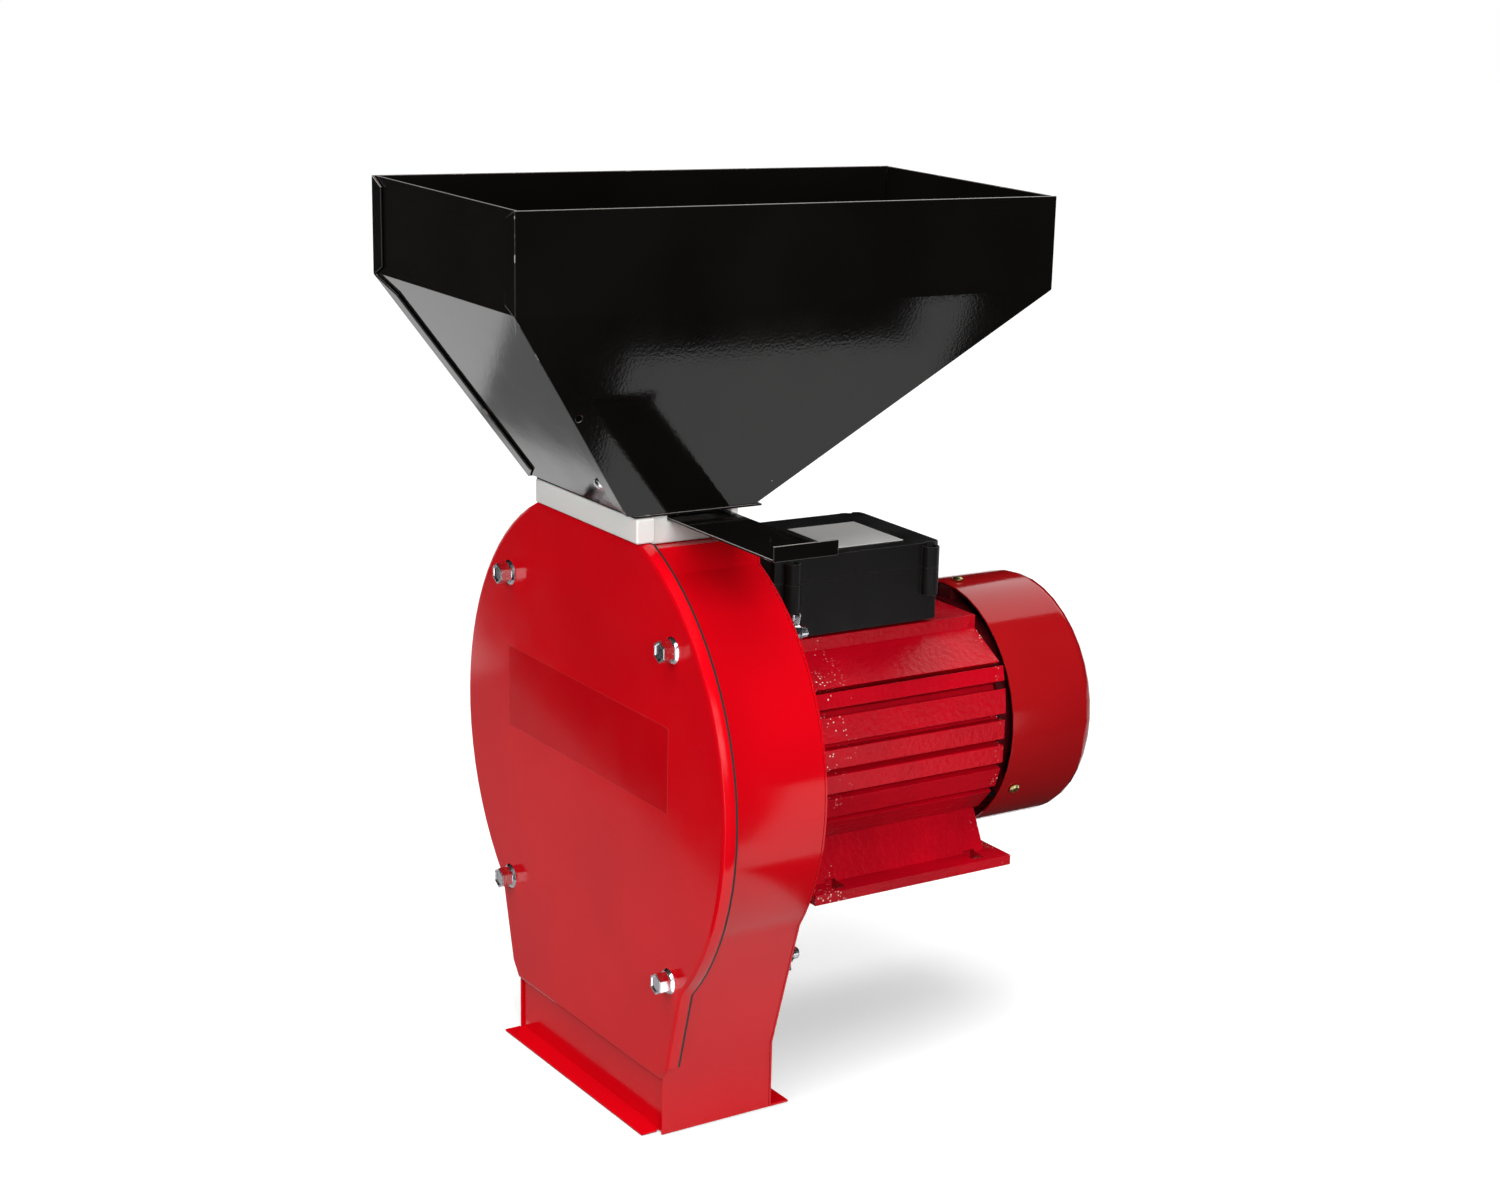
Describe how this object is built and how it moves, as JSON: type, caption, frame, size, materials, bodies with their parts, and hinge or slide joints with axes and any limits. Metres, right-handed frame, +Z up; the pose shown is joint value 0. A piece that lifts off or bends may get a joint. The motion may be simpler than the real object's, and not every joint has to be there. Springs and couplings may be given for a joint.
{
  "type": "hammer mill",
  "caption": "Electric grain hammer mill: rectangular hopper and slide gate over a round sheet-metal casing with a swing-hammer rotor, driven by a foot-mounted ribbed motor.",
  "frame": {"origin": "middle of the underside of the motor feet", "axes": "+Z up, +Y along the shaft from the crushing casing to the motor fan, +X towards the side that the feed gate is drawn out of"},
  "size_m": [0.3659, 0.4696, 0.6138],
  "materials": {
    "casing_red": "gloss powder coat",
    "hopper_black": "gloss black powder coat",
    "neck_white": "satin, slightly translucent",
    "bright_zinc": "bright zinc plate",
    "yellow_zinc": "yellow passivated zinc",
    "lid_screw_zinc": "bright zinc plate",
    "plain_steel": "oiled bare steel",
    "motor_red": "hammered enamel over a rough casting",
    "fan_cover_red": "gloss enamel on pressed steel",
    "box_plastic": "satin moulded plastic",
    "cast_aluminium": "as cast",
    "capacitor_can": "drawn can",
    "copper_winding": "varnished enamelled wire"
  },
  "bodies": {
    "mill": {"casing_wrap": "casing_red", "rear_plate": "casing_red", "outlet_front_plate": "casing_red", "inlet_chute": "casing_red", "hopper_side_left": "hopper_black", "hopper_side_right": "hopper_black", "hopper_end_front": "hopper_black", "hopper_end_rear": "hopper_black", "hopper_base": "hopper_black", "neck_block": "neck_white", "hopper_screw": "bright_zinc", "fan_cover_screw_1": "yellow_zinc", "fan_cover_screw_2": "yellow_zinc", "fan_cover_screw_3": "yellow_zinc", "lid_screw_1": "lid_screw_zinc", "lid_screw_2": "lid_screw_zinc", "lid_screw_3": "lid_screw_zinc", "lid_screw_4": "lid_screw_zinc", "screen_ring": "plain_steel", "stator_core": "plain_steel", "front_bearing": "plain_steel", "rear_bearing": "plain_steel", "motor_housing": "motor_red", "fan_cover": "fan_cover_red", "box_base": "box_plastic", "box_lid": "box_plastic", "cable_gland": "box_plastic", "front_end_shield": "cast_aluminium", "rear_end_shield": "cast_aluminium", "start_capacitor": "capacitor_can", "run_capacitor": "capacitor_can", "stator_winding": "copper_winding"},
    "cover": {"front_cover": "casing_red", "cover_bolt_1": "bright_zinc", "cover_bolt_2": "bright_zinc", "cover_bolt_3": "bright_zinc", "cover_bolt_4": "bright_zinc"},
    "screen": {"screen": "plain_steel"},
    "gate": {"feed_gate": "hopper_black"},
    "rotor": {"motor_shaft": "plain_steel", "rotor_carrier": "plain_steel", "rotor_bolt": "plain_steel", "hammer_pin_1": "plain_steel", "hammer_pin_2": "plain_steel", "hammer_pin_3": "plain_steel", "hammer_pin_4": "plain_steel", "rotor_core": "cast_aluminium", "cooling_fan": "box_plastic"},
    "hammer_1": {"hammer_1": "plain_steel"},
    "hammer_2": {"hammer_2": "plain_steel"},
    "hammer_3": {"hammer_3": "plain_steel"},
    "hammer_4": {"hammer_4": "plain_steel"},
    "hammer_5": {"hammer_5": "plain_steel"},
    "hammer_6": {"hammer_6": "plain_steel"},
    "hammer_7": {"hammer_7": "plain_steel"},
    "hammer_8": {"hammer_8": "plain_steel"},
    "wing_nut_1": {"wing_nut_1": "bright_zinc"},
    "wing_nut_2": {"wing_nut_2": "bright_zinc"},
    "wing_nut_3": {"wing_nut_3": "bright_zinc"},
    "wing_nut_4": {"wing_nut_4": "bright_zinc"}
  },
  "joints": [
    {"name": "cover_slide", "type": "slide", "parent": "mill", "child": "cover", "axis": [0, -1, 0], "range_m": [0, 0.19]},
    {"name": "screen_slide", "type": "slide", "parent": "mill", "child": "screen", "axis": [0, -1, 0], "range_m": [0, 0.095]},
    {"name": "gate_slide", "type": "slide", "parent": "mill", "child": "gate", "axis": [1, 0, 0], "range_m": [-0.098, 0]},
    {"name": "rotor_spin", "type": "hinge", "parent": "mill", "child": "rotor", "pos_m": [0, -0.012, 0.0995], "axis": [0, 1, 0], "continuous": true},
    {"name": "hammer_swing_1", "type": "hinge", "parent": "rotor", "child": "hammer_1", "pos_m": [0.0495, -0.182, 0.149], "axis": [0, 1, 0], "range_deg": [-270, 12]},
    {"name": "hammer_swing_2", "type": "hinge", "parent": "rotor", "child": "hammer_2", "pos_m": [0.0495, -0.154, 0.149], "axis": [0, 1, 0], "range_deg": [-270, 12]},
    {"name": "hammer_swing_3", "type": "hinge", "parent": "rotor", "child": "hammer_3", "pos_m": [-0.0495, -0.182, 0.149], "axis": [0, 1, 0], "range_deg": [-12, 270]},
    {"name": "hammer_swing_4", "type": "hinge", "parent": "rotor", "child": "hammer_4", "pos_m": [-0.0495, -0.154, 0.149], "axis": [0, 1, 0], "range_deg": [-12, 270]},
    {"name": "hammer_swing_5", "type": "hinge", "parent": "rotor", "child": "hammer_5", "pos_m": [-0.0495, -0.182, 0.05], "axis": [0, 1, 0], "range_deg": [-100, 190]},
    {"name": "hammer_swing_6", "type": "hinge", "parent": "rotor", "child": "hammer_6", "pos_m": [-0.0495, -0.154, 0.05], "axis": [0, 1, 0], "range_deg": [-100, 190]},
    {"name": "hammer_swing_7", "type": "hinge", "parent": "rotor", "child": "hammer_7", "pos_m": [0.0495, -0.182, 0.05], "axis": [0, 1, 0], "range_deg": [-190, 100]},
    {"name": "hammer_swing_8", "type": "hinge", "parent": "rotor", "child": "hammer_8", "pos_m": [0.0495, -0.154, 0.05], "axis": [0, 1, 0], "range_deg": [-190, 100]},
    {"name": "wing_nut_turn_1", "type": "hinge", "parent": "mill", "child": "wing_nut_1", "pos_m": [0.1115, -0.121, 0.2045], "axis": [0, 1, 0], "continuous": true},
    {"name": "wing_nut_turn_2", "type": "hinge", "parent": "mill", "child": "wing_nut_2", "pos_m": [0.112, -0.121, -0.02], "axis": [0, 1, 0], "continuous": true},
    {"name": "wing_nut_turn_3", "type": "hinge", "parent": "mill", "child": "wing_nut_3", "pos_m": [-0.1115, -0.121, 0.2045], "axis": [0, 1, 0], "continuous": true},
    {"name": "wing_nut_turn_4", "type": "hinge", "parent": "mill", "child": "wing_nut_4", "pos_m": [-0.112, -0.121, -0.02], "axis": [0, 1, 0], "continuous": true}
  ],
  "couplings": [
    {"joint": "screen_slide", "follows": "cover_slide", "ratio": 0.5}
  ]
}
